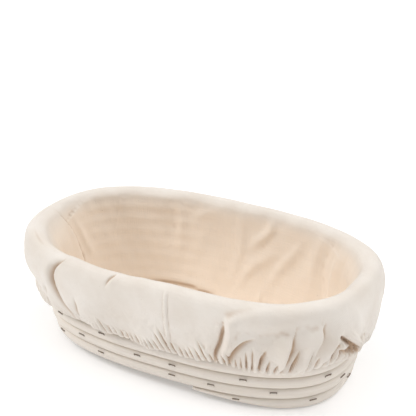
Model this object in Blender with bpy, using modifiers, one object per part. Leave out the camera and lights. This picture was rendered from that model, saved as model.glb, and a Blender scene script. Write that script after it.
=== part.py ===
"""Oval proofing basket (banneton): a coiled rattan cane basket held by wire staples, with a cotton
liner that turns over the rim to a gathered, elastic hem and lifts out.

Metres, +Z up. Origin: middle of the underside. +X runs along the length, -Y is the front.
"""

import math

import bmesh
import bpy
import numpy as np

MM = 0.001
UP = np.array([0.0, 0.0, 1.0])

# Outer surface of the cane wall: an oval (superellipse) that grows from the base to the rim
BASE_HALF_LENGTH = 112.0 * MM
BASE_SHIFT = 4.0 * MM  # the base sits this far to the right under the rim, so the left end flares more
BASE_HALF_WIDTH = 61.2 * MM
RIM_HALF_LENGTH = 124.8 * MM
RIM_HALF_WIDTH = 75.3 * MM
WALL_HEIGHT = 82.0 * MM
WALL_BOW = 2.6 * MM  # how far the wall bulges past a straight flare, at half height
OVAL_POWER = 2.6

# Cane
PITCH = 9.4 * MM  # climb of the wall coil in one turn
CANE_HEIGHT = 9.05 * MM
CANE_THICKNESS = 7.0 * MM
CANE_CORNER = 2.1 * MM
FLOOR_CANE_WIDTH = 8.7 * MM
TIP_SHARE = 0.16  # size of a tapered cane's tip, as a share of the full section
START_TOP = 6.9 * MM  # top of the cane at the coil's tapered start
START_TAPER = 0.11  # turns from the tip of the first cane to its full section
START_AT = 0.795  # where the coil starts, as a share of the way round from +X, counterclockwise
SURGE = 0.88  # the coil climbs faster where each turn crosses the tapered start
SURGE_AT = 0.03
JOINTS_AT = (3.40, 6.52)  # turns at which the wall coil goes on with a new cane
JOINT_GAP = 0.0007  # turns left open between two canes
STATIONS = 40  # points in one turn

# Floor coil
FLOOR_TURNS = 5
FLOOR_CORE_HALF = 52.0 * MM  # half length of the straight pass that the floor is wound round
FLOOR_CORE_SHIFT = 2.4 * MM
FLOOR_INSET = CANE_THICKNESS + 0.8 * MM  # from the wall's outer surface to the floor's edge
FLOOR_END_ANGLE = math.radians(24)  # where the floor cane's long tapered end stops

# Staples
STAPLE_ROWS = 3
STAPLES_IN_ROW = 12
FIRST_STAPLE = 0.62  # place of the first staple after the coil's start, in staple spacings
STAPLE_STAGGER = 0.43  # each row's staples sit this much further back than the row's below
STAPLE_WANDER = 0.09  # hand work, so not quite even
STAPLE_WIDTH = 4.4 * MM
STAPLE_BELOW_TOP = 1.45 * MM
STAPLE_PROUD = 0.2 * MM
STAPLE_WIRE = 0.42 * MM  # half the wire's thickness
STAPLE_LEG = 10.6 * MM
STAPLE_LEAN = math.radians(25)  # of the legs, inward from the slope of the wall
LOW_STAPLE_LEG = 8.6 * MM
LOW_STAPLE_LEAN = math.radians(36)  # the lowest row's legs slant into the floor cane
HOLE_CLEARANCE = 0.36 * MM
HOLE_ABOVE = 2.0 * MM  # the holes start this far above the wire and end this far below the leg
HOLE_BELOW = 0.6 * MM

# Liner
GAP = 0.35 * MM
CLOTH = 0.9 * MM
LINER_FLOOR_Z = CANE_THICKNESS + GAP
CREST_Z = WALL_HEIGHT + 3.3 * MM  # highest point of the cloth, over the rim
SPLIT_OUT = -3.6 * MM  # the inside band and the skirt meet on the crest, this far in
SKIRT_PROUD = 7.4 * MM  # how far the skirt's bulge stands off the canes
SKIRT_PROUD_Z = 62.0 * MM
HEM_Z = 36.5 * MM
ELASTIC_RADIUS = 0.8 * MM
ELASTIC_OUT = 2.8 * MM
ELASTIC_Z = HEM_Z + CLOTH + GAP + ELASTIC_RADIUS
THREAD_RADIUS = 0.25 * MM
SIDE_SEAM_AT = 0.7785  # share of the way round, just right of the middle of the front
SIDE_SEAM_TOP = CREST_Z - 9.0 * MM
SIDE_SEAM_FOOT = 49.0 * MM
SIDE_SEAM_POINTS = 12
FLOOR_EDGE_OUT = -11.6 * MM
INSIDE_OUT = -CANE_THICKNESS - 0.9 * MM  # outer face of the cloth inside, clear of the canes

# Sections of the band, as (out from the wall's surface, z). The inside: floor seam, up, on to the rim
INSIDE_PROFILE = (
    (FLOOR_EDGE_OUT + GAP + CLOTH, LINER_FLOOR_Z + 0.3 * MM),
    (INSIDE_OUT - 1.0 * MM, 12.5 * MM),
    (INSIDE_OUT, 20 * MM),
    (INSIDE_OUT, 36 * MM),
    (INSIDE_OUT, 54 * MM),
    (INSIDE_OUT, 72 * MM),
    (INSIDE_OUT + 0.1 * MM, WALL_HEIGHT - 1.0 * MM),
    (INSIDE_OUT + 1.6 * MM, WALL_HEIGHT + 1.2 * MM),
    (SPLIT_OUT - GAP / 2, WALL_HEIGHT + 1.8 * MM),
)
# The skirt: over the rim, down in a bulge, then in under the elastic and up behind it
CHANNEL_FRONT = ELASTIC_OUT + ELASTIC_RADIUS + GAP + CLOTH
CHANNEL_BACK = ELASTIC_OUT - ELASTIC_RADIUS - GAP - CLOTH
SKIRT_PROFILE = (
    (SPLIT_OUT + GAP / 2, CREST_Z - 0.35 * MM),
    (0.4 * MM, CREST_Z),
    (3.6 * MM, CREST_Z - 1.6 * MM),
    (6.0 * MM, CREST_Z - 5.4 * MM),
    (7.0 * MM, CREST_Z - 12.0 * MM),
    (SKIRT_PROUD, SKIRT_PROUD_Z),
    (6.6 * MM, 53 * MM),
    (5.4 * MM, 46 * MM),
    (CHANNEL_FRONT, HEM_Z + 4.0 * MM),
    (CHANNEL_FRONT, HEM_Z + 1.4 * MM),
    (CHANNEL_FRONT - 0.9 * MM, HEM_Z + 0.2 * MM),
    (CHANNEL_BACK + 0.5 * MM, HEM_Z),
    (CHANNEL_BACK, HEM_Z + 0.8 * MM),
    (CHANNEL_BACK, HEM_Z + 3.6 * MM),
)

# Colours (linear) and finishes: name, colour, roughness, metallic
RATTAN = ("rattan", (0.76, 0.68, 0.57), 0.55, 0.0)
STEEL = ("staple_steel", (0.16, 0.13, 0.11), 0.45, 1.0)
COTTON = ("cotton_liner", (0.80, 0.74, 0.66), 0.9, 0.0)
ELASTIC = ("elastic", (0.85, 0.83, 0.80), 0.8, 0.0)
THREAD = ("thread", (0.86, 0.81, 0.73), 0.8, 0.0)

COLLECTION = "banneton_basket"
WELD = 0.01 * MM  # points closer than this become one


# ---------------------------------------------------------------- plan and coil


def wall_size(z):
    """Half length and half width of the wall's outer surface at height z."""
    t = min(max(z / WALL_HEIGHT, 0.0), 1.05)
    bow = 4 * t * (1 - t) * WALL_BOW
    return (
        BASE_HALF_LENGTH + (RIM_HALF_LENGTH - BASE_HALF_LENGTH) * t + bow,
        BASE_HALF_WIDTH + (RIM_HALF_WIDTH - BASE_HALF_WIDTH) * t + bow,
    )


def wall_shift(z):
    """How far the middle of the wall's plan is to the right at height z."""
    return BASE_SHIFT * (1 - min(max(z / WALL_HEIGHT, 0.0), 1.0))


def oval(angle, half_length, half_width):
    c, s = math.cos(angle), math.sin(angle)
    return (
        half_length * math.copysign(abs(c) ** (2 / OVAL_POWER), c),
        half_width * math.copysign(abs(s) ** (2 / OVAL_POWER), s),
    )


def arc_table():
    """Share of the way round the oval for each of many angles, so that stations are evenly spaced."""
    angles = np.linspace(0, 2 * math.pi, 4001)
    points = np.array([oval(a, *wall_size(WALL_HEIGHT / 2)) for a in angles])
    steps = np.linalg.norm(np.diff(points, axis=0), axis=1)
    share = np.concatenate([[0.0], np.cumsum(steps)])
    return share / share[-1], angles


SHARES, ANGLES = arc_table()


def around(share, z, out):
    """Point at a share of the way round (from +X, counterclockwise), out from the wall's surface."""
    angle = float(np.interp(share % 1.0, SHARES, ANGLES))
    half_length, half_width = wall_size(z)
    x, y = oval(angle, half_length + out, half_width + out)
    return np.array([x + wall_shift(z), y, z])


def coil_top(turns):
    """Height of the top of the wall coil, that many turns after its start."""
    phase = 2 * math.pi
    surge = SURGE / phase * (math.sin(phase * (turns - SURGE_AT)) + math.sin(phase * SURGE_AT))
    return START_TOP + PITCH * (turns + surge)


def coil_turns_at(height):
    """Turns after the start at which the coil's top reaches a height."""
    turns = np.linspace(0, 12, 6001)
    return float(np.interp(height, [coil_top(t) for t in turns], turns))


COIL_END = coil_turns_at(WALL_HEIGHT + (1 - TIP_SHARE) * CANE_HEIGHT)


# ---------------------------------------------------------------- helpers


def material(name, colour, roughness, metallic):
    made = bpy.data.materials.new(name)
    made.use_nodes = True
    shader = made.node_tree.nodes["Principled BSDF"]
    shader.inputs["Base Color"].default_value = (*colour, 1.0)
    shader.inputs["Roughness"].default_value = roughness
    shader.inputs["Metallic"].default_value = metallic
    made.diffuse_color = (*colour, 1.0)
    return made


def link(obj, collection, look=None):
    collection.objects.link(obj)
    if look is not None:
        obj.data.materials.clear()
        obj.data.materials.append(look)
    return obj


def curve_object(name, points, closed=False, radius=None, section=None, sizes=None, resolution=2):
    """A POLY curve, round with a radius or carrying a section curve, with filled ends."""
    curve = bpy.data.curves.new(name, "CURVE")
    curve.dimensions = "3D"
    curve.resolution_u = 1
    curve.render_resolution_u = 0
    curve.twist_mode = "Z_UP"
    curve.use_fill_caps = not closed
    spline = curve.splines.new("POLY")
    spline.points.add(len(points) - 1)
    for i, point in enumerate(points):
        spline.points[i].co = (*point, 1.0)
        spline.points[i].radius = 1.0 if sizes is None else sizes[i]
    spline.use_cyclic_u = closed
    if section is None:
        curve.bevel_depth = radius
        curve.bevel_resolution = resolution
    else:
        curve.bevel_mode = "OBJECT"
        curve.bevel_object = section
    return bpy.data.objects.new(name, curve)


def section_curve(name, width, height, corner, cutters):
    """A rectangle with its corners cut, as a closed curve that a cane is swept with."""
    w, h = width / 2, height / 2
    corners = [
        (w, -h + corner), (w, h - corner), (w - corner, h), (-w + corner, h),
        (-w, h - corner), (-w, -h + corner), (-w + corner, -h), (w - corner, -h),
    ]  # fmt: skip
    curve = bpy.data.curves.new(name, "CURVE")
    curve.dimensions = "2D"
    curve.fill_mode = "NONE"
    spline = curve.splines.new("POLY")
    spline.points.add(len(corners) - 1)
    for point, (x, y) in zip(spline.points, corners):
        point.co = (x, y, 0.0, 1.0)
    spline.use_cyclic_u = True
    made = link(bpy.data.objects.new(name, curve), cutters)
    made.hide_render = True
    made.display_type = "WIRE"
    return made


def to_mesh(obj, collection, look):
    """The curve object as a mesh object with welded ends."""
    bpy.context.view_layer.update()
    evaluated = obj.evaluated_get(bpy.context.evaluated_depsgraph_get())
    mesh = bpy.data.meshes.new_from_object(evaluated)
    name = obj.name
    matrix = obj.matrix_world.copy()
    bpy.data.objects.remove(obj)
    work = bmesh.new()
    work.from_mesh(mesh)
    bmesh.ops.remove_doubles(work, verts=work.verts, dist=WELD)
    bmesh.ops.recalc_face_normals(work, faces=work.faces)
    work.to_mesh(mesh)
    work.free()
    made = link(bpy.data.objects.new(name, mesh), collection, look)
    made.matrix_world = matrix
    return made


def shell(name, profile, thickness, collection, look):
    """A closed band round the oval: a profile of (out, z) pairs swept as an open surface, then solidified."""
    work = bmesh.new()
    rings = [
        [work.verts.new(around(i / STATIONS, z, out)) for i in range(STATIONS)] for out, z in profile
    ]
    for low, high in zip(rings, rings[1:]):
        for i in range(STATIONS):
            j = (i + 1) % STATIONS
            work.faces.new((low[i], low[j], high[j], high[i]))
    mesh = bpy.data.meshes.new(name)
    work.to_mesh(mesh)
    work.free()
    made = link(bpy.data.objects.new(name, mesh), collection, look)
    solidify = made.modifiers.new("thickness", "SOLIDIFY")
    solidify.thickness = thickness
    solidify.offset = -1.0
    solidify.use_even_offset = True
    made.data.shade_smooth()
    return made


# ---------------------------------------------------------------- basket


def wall_lean(share, z):
    """Angle by which the wall leans outward there."""
    step = 2 * MM
    low, high = around(share, max(z - step, 0), 0), around(share, max(z - step, 0) + 2 * step, 0)
    return math.atan2(math.dist(low[:2], high[:2]), 2 * step)


def cane_section(turns):
    """The eight corners of the wall cane's section, that many turns after the coil's start."""
    share = START_AT + turns
    top = coil_top(turns)
    height = CANE_HEIGHT * min(1.0, TIP_SHARE + (1 - TIP_SHARE) * turns / START_TAPER)
    height -= max(0.0, top - WALL_HEIGHT)  # the last turn is shaved down to a level rim
    top = min(top, WALL_HEIGHT)
    middle_z = top - height / 2
    lean = wall_lean(share, middle_z)
    surface, inside = around(share, middle_z, 0.0), around(share, middle_z, -1 * MM)
    out = (surface - inside) / np.linalg.norm(surface - inside)
    across = out * math.cos(lean) - UP * math.sin(lean)
    upward = out * math.sin(lean) + UP * math.cos(lean)
    middle = surface - across * CANE_THICKNESS / 2
    corner = min(CANE_CORNER, 0.4 * height)
    w, h = CANE_THICKNESS / 2, height / 2
    corners = (
        (w, -h + corner), (w, h - corner), (w - corner, h), (-w + corner, h),
        (-w, h - corner), (-w, -h + corner), (-w + corner, -h), (w - corner, -h),
    )  # fmt: skip
    return [middle + across * x + upward * y for x, y in corners]


def wall_cane(name, first, last, collection, look):
    """One length of the wall coil, lofted from one number of turns to another."""
    spacing = 1 / STATIONS
    count = math.ceil((last - first) * STATIONS) + 1
    between = [(round(first * STATIONS) + i) * spacing for i in range(count)]
    margin = 0.2 * spacing
    stops = [first, *(t for t in between if first + margin < t < last - margin), last]
    work = bmesh.new()
    rings = [[work.verts.new(corner) for corner in cane_section(t)] for t in stops]
    for here, ahead in zip(rings, rings[1:]):
        for i in range(len(here)):
            j = (i + 1) % len(here)
            work.faces.new((here[i], ahead[i], ahead[j], here[j]))
    work.faces.new(rings[0])
    work.faces.new(reversed(rings[-1]))
    bmesh.ops.recalc_face_normals(work, faces=work.faces)
    mesh = bpy.data.meshes.new(name)
    work.to_mesh(mesh)
    work.free()
    return link(bpy.data.objects.new(name, mesh), collection, look)


def reach(direction, x_core, half_length, half_width):
    """Distance from a point of the floor's core to the floor's outline, along a direction."""
    low, high = 0.0, half_length + half_width
    for _ in range(40):
        middle = (low + high) / 2
        x = abs(x_core + middle * direction[0]) / half_length
        y = abs(middle * direction[1]) / half_width
        if x**OVAL_POWER + y**OVAL_POWER < 1:
            low = middle
        else:
            high = middle
    return low


def floor_path():
    """Centre line of the floor coil and its size there: straight passes joined by half circles, then a
    long tapered end that closes the gap round the right end, all fitted into the oval."""
    inset = FLOOR_INSET + FLOOR_CANE_WIDTH / 2
    half_length, half_width = BASE_HALF_LENGTH - inset, BASE_HALF_WIDTH - inset
    pitch = half_width / FLOOR_TURNS
    core = FLOOR_CORE_HALF
    quarter = math.pi / 2
    raw = []

    def straight(x_from, x_to, y, steps=5):
        raw.extend((x_from + (x_to - x_from) * i / steps, y, 1.0) for i in range(steps))

    def bend(x, y, radius, angle_from, angle_to):
        steps = 6 + round(radius / (16 * MM)) * 2
        for i in range(steps):
            angle = angle_from + (angle_to - angle_from) * i / steps
            raw.append((x + radius * math.cos(angle), y + radius * math.sin(angle), 1.0))

    for turn in range(FLOOR_TURNS):
        straight(-core, core, -turn * pitch)
        bend(core, pitch / 2, (turn + 0.5) * pitch, -quarter, quarter)
        straight(core, -core, (turn + 1) * pitch)
        bend(-core, 0, (turn + 1) * pitch, quarter, 3 * quarter)
    straight(-core, core, -FLOOR_TURNS * pitch)
    outer = half_width + FLOOR_CANE_WIDTH / 2
    inner = (FLOOR_TURNS + 0.5) * pitch - FLOOR_CANE_WIDTH / 2
    steps = 9
    for i in range(steps + 1):
        angle = -quarter + (FLOOR_END_ANGLE + quarter) * i / steps
        side = pitch / 2 * math.cos(angle)
        nearest = pitch / 2 * math.sin(angle) + math.sqrt(inner**2 - side**2)
        size = (outer - nearest) / FLOOR_CANE_WIDTH
        radius = (outer + nearest) / 2
        raw.append((core + radius * math.cos(angle), radius * math.sin(angle), size))

    points, sizes = [], []
    for x, y, size in raw:
        x_core = min(max(x, -core), core)
        distance = math.hypot(x - x_core, y)
        scale = 1.0
        if distance > 0.1 * MM:
            direction = ((x - x_core) / distance, y / distance)
            scale = reach(direction, x_core, half_length, half_width) / half_width
        shift = FLOOR_CORE_SHIFT * max(0.0, 1 - distance / half_width)
        shift += wall_shift(0)
        points.append((x_core + (x - x_core) * scale + shift, y * scale, CANE_THICKNESS / 2 * size))
        sizes.append(size)
    return points, sizes


def floor_cane(section, collection, look):
    points, sizes = floor_path()
    made = curve_object("floor_cane", points, section=section, sizes=sizes)
    link(made, collection)
    return to_mesh(made, collection, look)


def staple_turns(row, i):
    """Turns after the coil's start at which staple i of a row sits; hand work, so not quite even."""
    wander = STAPLE_WANDER * math.sin(2.4 * i + 1.7 * row)
    return row + (i + FIRST_STAPLE - STAPLE_STAGGER * row + wander) / STAPLES_IN_ROW


def staple_points(row, i):
    """The four corners of a staple's wire: leg end, shoulder, shoulder, leg end."""
    turns = staple_turns(row, i)
    share = START_AT + turns
    top = coil_top(turns)
    z = top - STAPLE_BELOW_TOP
    middle = around(share, z, STAPLE_PROUD)
    step = 0.002
    along = around(share + step, z, 0.0) - around(share - step, z, 0.0)
    along[2] = coil_top(turns + step) - coil_top(turns - step)
    along /= np.linalg.norm(along)
    outward = np.array([along[1], -along[0], 0.0])
    outward /= np.linalg.norm(outward)
    low = row == 0
    lean, leg = (LOW_STAPLE_LEAN, LOW_STAPLE_LEG) if low else (STAPLE_LEAN, STAPLE_LEG)
    lean += wall_lean(share, z)
    down = -math.sin(lean) * outward - math.cos(lean) * UP
    shoulders = [middle - along * STAPLE_WIDTH / 2, middle + along * STAPLE_WIDTH / 2]
    return [shoulders[0] + down * leg, shoulders[0], shoulders[1], shoulders[1] + down * leg]


def staples(collection, look):
    for row in range(STAPLE_ROWS):
        for i in range(STAPLES_IN_ROW):
            name = f"staple_{row + 1}_{i + 1:02d}"
            made = curve_object(name, staple_points(row, i), radius=STAPLE_WIRE, resolution=0)
            made.data.twist_mode = "MINIMUM"
            link(made, collection, look)


def staple_holes(cutters):
    """One cutter object with a square prism round every staple leg."""
    work = bmesh.new()
    half = STAPLE_WIRE + HOLE_CLEARANCE
    for row in range(STAPLE_ROWS):
        for i in range(STAPLES_IN_ROW):
            end_a, top_a, top_b, end_b = staple_points(row, i)
            along = (top_b - top_a) / np.linalg.norm(top_b - top_a)
            for top, end in ((top_a, end_a), (top_b, end_b)):
                down = (end - top) / np.linalg.norm(end - top)
                side = np.cross(along, down)
                side /= np.linalg.norm(side)
                across = np.cross(down, side)
                start, stop = top - down * HOLE_ABOVE, end + down * HOLE_BELOW
                rings = [
                    [work.verts.new(p + half * (a * across + b * side)) for a, b in
                     ((-1, -1), (1, -1), (1, 1), (-1, 1))]
                    for p in (start, stop)
                ]  # fmt: skip
                work.faces.new(rings[0])
                work.faces.new(reversed(rings[1]))
                for k in range(4):
                    n = (k + 1) % 4
                    work.faces.new((rings[0][n], rings[0][k], rings[1][k], rings[1][n]))
    bmesh.ops.recalc_face_normals(work, faces=work.faces)
    mesh = bpy.data.meshes.new("staple_holes")
    work.to_mesh(mesh)
    work.free()
    made = link(bpy.data.objects.new("staple_holes", mesh), cutters)
    made.hide_render = True
    made.display_type = "WIRE"
    return made


def drill(obj, cutter):
    cut = obj.modifiers.new("staple_holes", "BOOLEAN")
    cut.operation = "DIFFERENCE"
    cut.solver = "EXACT"
    cut.object = cutter


# ---------------------------------------------------------------- liner


def liner_floor(collection, look):
    """Oval floor panel, lying on the floor canes."""
    curve = bpy.data.curves.new("liner_floor", "CURVE")
    curve.dimensions = "2D"
    curve.fill_mode = "BOTH"
    curve.extrude = CLOTH / 2
    spline = curve.splines.new("POLY")
    spline.points.add(STATIONS - 1)
    z = LINER_FLOOR_Z + CLOTH / 2
    for i, point in enumerate(spline.points):
        x, y, _ = around(i / STATIONS, z, FLOOR_EDGE_OUT)
        point.co = (x, y, 0.0, 1.0)
    spline.use_cyclic_u = True
    made = bpy.data.objects.new("liner_floor", curve)
    made.location.z = z
    link(made, collection)
    return to_mesh(made, collection, look)


def ring(name, z, out, radius, collection, look, resolution=1):
    points = [around(i / STATIONS, z, out) for i in range(STATIONS)]
    made = curve_object(name, points, closed=True, radius=radius, resolution=resolution)
    link(made, collection)
    return to_mesh(made, collection, look)


def side_seam_thread(collection, look):
    """The join of the band, stitched down the skirt."""
    stand_off = THREAD_RADIUS + GAP
    face = SKIRT_PROFILE[8:0:-1]  # from the elastic up to the crest
    points = []
    for z in np.linspace(SIDE_SEAM_TOP, SIDE_SEAM_FOOT, SIDE_SEAM_POINTS):
        out = float(np.interp(z, [point[1] for point in face], [point[0] for point in face]))
        points.append(around(SIDE_SEAM_AT, z, out + stand_off))
    made = curve_object("side_seam_thread", points, radius=THREAD_RADIUS, resolution=1)
    return link(made, collection, look)


# ---------------------------------------------------------------- build


def build():
    for old in list(bpy.data.objects):
        bpy.data.objects.remove(old)
    parts = bpy.data.collections.new(COLLECTION)
    cutters = bpy.data.collections.new("cutters")
    bpy.context.scene.collection.children.link(parts)
    bpy.context.scene.collection.children.link(cutters)

    rattan, steel, cotton, elastic, thread = (
        material(*finish) for finish in (RATTAN, STEEL, COTTON, ELASTIC, THREAD)
    )

    lying = section_curve("lying_section", FLOOR_CANE_WIDTH, CANE_THICKNESS, CANE_CORNER, cutters)
    holes = staple_holes(cutters)
    ends = [0.0, *JOINTS_AT, COIL_END]
    names = ("wall_cane_lower", "wall_cane_middle", "wall_cane_upper")
    canes = [floor_cane(lying, parts, rattan)]
    for k, name in enumerate(names):
        first = ends[k] + (JOINT_GAP if k else 0.0)
        canes.append(wall_cane(name, first, ends[k + 1], parts, rattan))
    for cane in canes[:2]:
        drill(cane, holes)
    staples(parts, steel)

    liner_floor(parts, cotton)
    shell("liner_wall", INSIDE_PROFILE, CLOTH, parts, cotton)
    shell("liner_skirt", SKIRT_PROFILE, -CLOTH, parts, cotton)
    ring("elastic_cord", ELASTIC_Z, ELASTIC_OUT, ELASTIC_RADIUS, parts, elastic, resolution=2)
    hem_out = ELASTIC_OUT + ELASTIC_RADIUS + GAP + CLOTH + THREAD_RADIUS + GAP
    ring("hem_seam_thread", HEM_Z + 2.7 * MM, hem_out, THREAD_RADIUS, parts, thread)
    seam_z = LINER_FLOOR_Z + CLOTH + GAP + THREAD_RADIUS
    ring("floor_seam_thread", seam_z, FLOOR_EDGE_OUT - 0.8 * MM, THREAD_RADIUS, parts, thread)
    side_seam_thread(parts, thread)


build()
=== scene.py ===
"""Looks of the oval proofing basket: fine canes, wire staples and the gathered cotton liner.

Metres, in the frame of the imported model. A place on the wall is given as (along, z) in millimetres:
along is measured round the wall from the middle of the front, positive to the right, and z is the
height. A size that stands off the wall is positive outward on the skirt, and inward inside.
"""

import math

import bmesh
import bpy
import numpy as np
from mathutils import Matrix, Vector


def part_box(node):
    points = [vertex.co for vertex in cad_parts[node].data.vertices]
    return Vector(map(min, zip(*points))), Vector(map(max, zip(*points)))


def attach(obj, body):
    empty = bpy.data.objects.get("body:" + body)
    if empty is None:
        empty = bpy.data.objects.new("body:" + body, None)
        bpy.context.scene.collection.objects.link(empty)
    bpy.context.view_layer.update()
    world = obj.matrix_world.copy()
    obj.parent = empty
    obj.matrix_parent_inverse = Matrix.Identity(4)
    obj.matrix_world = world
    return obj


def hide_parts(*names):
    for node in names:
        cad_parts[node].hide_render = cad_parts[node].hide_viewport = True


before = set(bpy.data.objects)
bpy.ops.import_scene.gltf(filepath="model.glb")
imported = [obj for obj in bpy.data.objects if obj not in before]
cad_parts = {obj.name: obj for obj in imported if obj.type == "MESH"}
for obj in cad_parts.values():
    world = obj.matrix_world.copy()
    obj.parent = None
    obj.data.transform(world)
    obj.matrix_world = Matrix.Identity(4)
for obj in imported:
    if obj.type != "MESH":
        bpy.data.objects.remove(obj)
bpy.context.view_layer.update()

MM = 0.001
SEED = 11
UP = np.array([0.0, 0.0, 1.0])

# ---------------------------------------------------------------- plan of the wall, from the CAD nodes

RIM_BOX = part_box("wall_cane_upper")
FLOOR_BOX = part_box("floor_cane")
WALL_HEIGHT = RIM_BOX[1].z
CANE_THICKNESS = FLOOR_BOX[1].z
FLOOR_INSET = CANE_THICKNESS + 0.8 * MM
RIM_HALF = (RIM_BOX[1].x, RIM_BOX[1].y)
BASE_SHIFT = 4.0 * MM  # the base sits this far to the right under the rim
BASE_HALF = (BASE_SHIFT - FLOOR_BOX[0].x + FLOOR_INSET, FLOOR_BOX[1].y + FLOOR_INSET)
WALL_BOW = 2.6 * MM
OVAL_POWER = 2.6


def wall_size(z):
    """Half length and half width of the wall's outer surface at heights z."""
    t = np.clip(z / WALL_HEIGHT, 0.0, 1.05)
    bow = 4 * t * (1 - t) * WALL_BOW
    return tuple(base + (rim - base) * t + bow for base, rim in zip(BASE_HALF, RIM_HALF))


def wall_shift(z):
    """How far the middle of the wall's plan is to the right at heights z."""
    return BASE_SHIFT * (1 - np.clip(z / WALL_HEIGHT, 0.0, 1.0))


def superellipse(angle, power):
    """Points on a squared circle of unit size: power 2 is round, more is squarer."""
    c, s = np.cos(angle), np.sin(angle)
    return np.sign(c) * np.abs(c) ** (2 / power), np.sign(s) * np.abs(s) ** (2 / power)


def oval(angle, half_length, half_width):
    x, y = superellipse(angle, OVAL_POWER)
    return half_length * x, half_width * y


def arc_table():
    """Share of the way round for each of many angles, and the whole way round, at half height."""
    angles = np.linspace(0, 2 * math.pi, 20001)
    x, y = oval(angles, *wall_size(WALL_HEIGHT / 2))
    run = np.concatenate([[0.0], np.cumsum(np.hypot(np.diff(x), np.diff(y)))])
    return run / run[-1], angles, run[-1]


SHARES, ANGLES, GIRTH = arc_table()
GIRTH_MM = GIRTH / MM


def around(share, z, out):
    """Points at shares of the way round (from +X, counterclockwise), out from the wall's surface."""
    share, z, out = np.broadcast_arrays(share, z, out)
    angle = np.interp(share % 1.0, SHARES, ANGLES)
    half_length, half_width = wall_size(z)
    x, y = oval(angle, half_length + out, half_width + out)
    return np.stack([x + wall_shift(z), y, z], axis=-1)


def share_at(along):
    """Share of the way round for a distance in millimetres from the middle of the front."""
    return 0.75 + along * MM / GIRTH


def along_at(share):
    """Distance in millimetres from the middle of the front, for a share of the way round."""
    return (share - 0.75) * GIRTH / MM


# ---------------------------------------------------------------- mesh helpers


def link(obj, look=None):
    bpy.context.scene.collection.objects.link(obj)
    if look is not None:
        obj.data.materials.append(look)
    return obj


def grid_mesh(name, points, u, v, look, closed=True, capped=False):
    """A smooth mesh over points[row, column]; closed joins the last column to the first.
    u[row, column] and v[row, column] are the UVs, with one more column than the points where closed."""
    rows, columns = points.shape[:2]
    i, j = np.meshgrid(np.arange(rows - 1), np.arange(columns if closed else columns - 1), indexing="ij")
    i, j = i.ravel(), j.ravel()
    ahead = (j + 1) % columns
    near, far = i * columns, (i + 1) * columns
    faces = np.stack([near + j, near + ahead, far + ahead, far + j], 1).tolist()
    if capped:
        faces += [list(range(columns))[::-1], [(rows - 1) * columns + k for k in range(columns)]]
    mesh = bpy.data.meshes.new(name)
    mesh.from_pydata(points.reshape(-1, 3).tolist(), [], faces)
    corners = np.stack([np.stack([u[a, b], v[a, b]], 1) for a, b in
                        ((i, j), (i, j + 1), (i + 1, j + 1), (i + 1, j))], 1)  # fmt: skip
    flat = corners.reshape(-1, 2)
    if capped:
        flat = np.concatenate([flat, np.zeros((2 * columns, 2))])
    mesh.uv_layers.new(name="UVMap").data.foreach_set("uv", flat.ravel())
    mesh.shade_smooth()
    mesh.update()
    return link(bpy.data.objects.new(name, mesh), look)


def add_attribute(obj, name, values):
    """A number for each vertex that the material can read."""
    obj.data.attributes.new(name, "FLOAT", "POINT").data.foreach_set("value", np.ravel(values))


def wire_curve(name, lines, radius, look, resolution=1, closed=False):
    """Round wires along lines of points, as one object."""
    curve = bpy.data.curves.new(name, "CURVE")
    curve.dimensions = "3D"
    curve.bevel_depth = radius
    curve.bevel_resolution = resolution
    curve.use_fill_caps = not closed
    for line in lines:
        wire = curve.splines.new("POLY")
        wire.points.add(len(line) - 1)
        wire.points.foreach_set("co", np.concatenate([line, np.ones((len(line), 1))], 1).ravel())
        wire.use_cyclic_u = closed
    return link(bpy.data.objects.new(name, curve), look)


def smoothstep(t):
    t = np.clip(t, 0.0, 1.0)
    return t * t * (3 - 2 * t)


def run_along(points):
    """Distance along a line of points, at each of them."""
    return np.concatenate([[0.0], np.cumsum(np.linalg.norm(np.diff(points, axis=0), axis=1))])


def sampled(stops, run, columns):
    """Rows of columns read at distances along them, where run is the distance of each row."""
    return np.stack([np.interp(stops, run, column) for column in columns], 1)


def spaced(density, x):
    """Places along x whose spacing follows a density, from its first value to its last."""
    order = np.concatenate([[0.0], np.cumsum((density[1:] + density[:-1]) / 2 * np.diff(x))])
    return np.interp(np.linspace(0, order[-1], round(order[-1]) + 1), order, x)


def spline(points, count):
    """Points evenly placed along a centripetal Catmull-Rom curve through the given points."""
    points = np.array(points, float)
    ends = np.concatenate([[2 * points[0] - points[1]], points, [2 * points[-1] - points[-2]]])
    dense = []
    for p0, p1, p2, p3 in zip(ends, ends[1:], ends[2:], ends[3:]):
        pairs = ((p0, p1), (p1, p2), (p2, p3))
        t01, t12, t23 = (max(np.linalg.norm(b - a), 1e-9) ** 0.5 for a, b in pairs)
        m1 = p2 - p1 + t12 * ((p1 - p0) / t01 - (p2 - p0) / (t01 + t12))
        m2 = p2 - p1 + t12 * ((p3 - p2) / t23 - (p3 - p1) / (t12 + t23))
        t = np.linspace(0, 1, 24, endpoint=False)[:, None]
        dense.append((2 * t**3 - 3 * t**2 + 1) * p1 + (t**3 - 2 * t**2 + t) * m1
                     + (3 * t**2 - 2 * t**3) * p2 + (t**3 - t**2) * m2)  # fmt: skip
    dense = np.concatenate([*dense, points[-1:]])
    run = run_along(dense[:, :2])
    stops = np.linspace(0, run[-1], count)
    return sampled(stops, run, dense.T)


def wave_noise(share, z, rng, wavelength, height_wavelength, count=14):
    """Smooth noise of about unit size over the wall, closed round the basket."""
    total = np.zeros(np.broadcast(share, z).shape)
    turns = GIRTH / (wavelength * MM)
    for _ in range(count):
        n = max(1, round(turns * rng.uniform(0.6, 1.5)))
        k = 2 * math.pi / (height_wavelength * MM) * rng.uniform(-1.3, 1.3)
        total = total + np.sin(2 * math.pi * n * share + k * z + rng.uniform(0, 2 * math.pi))
    return total * math.sqrt(2 / count)


# ---------------------------------------------------------------- materials


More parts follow.
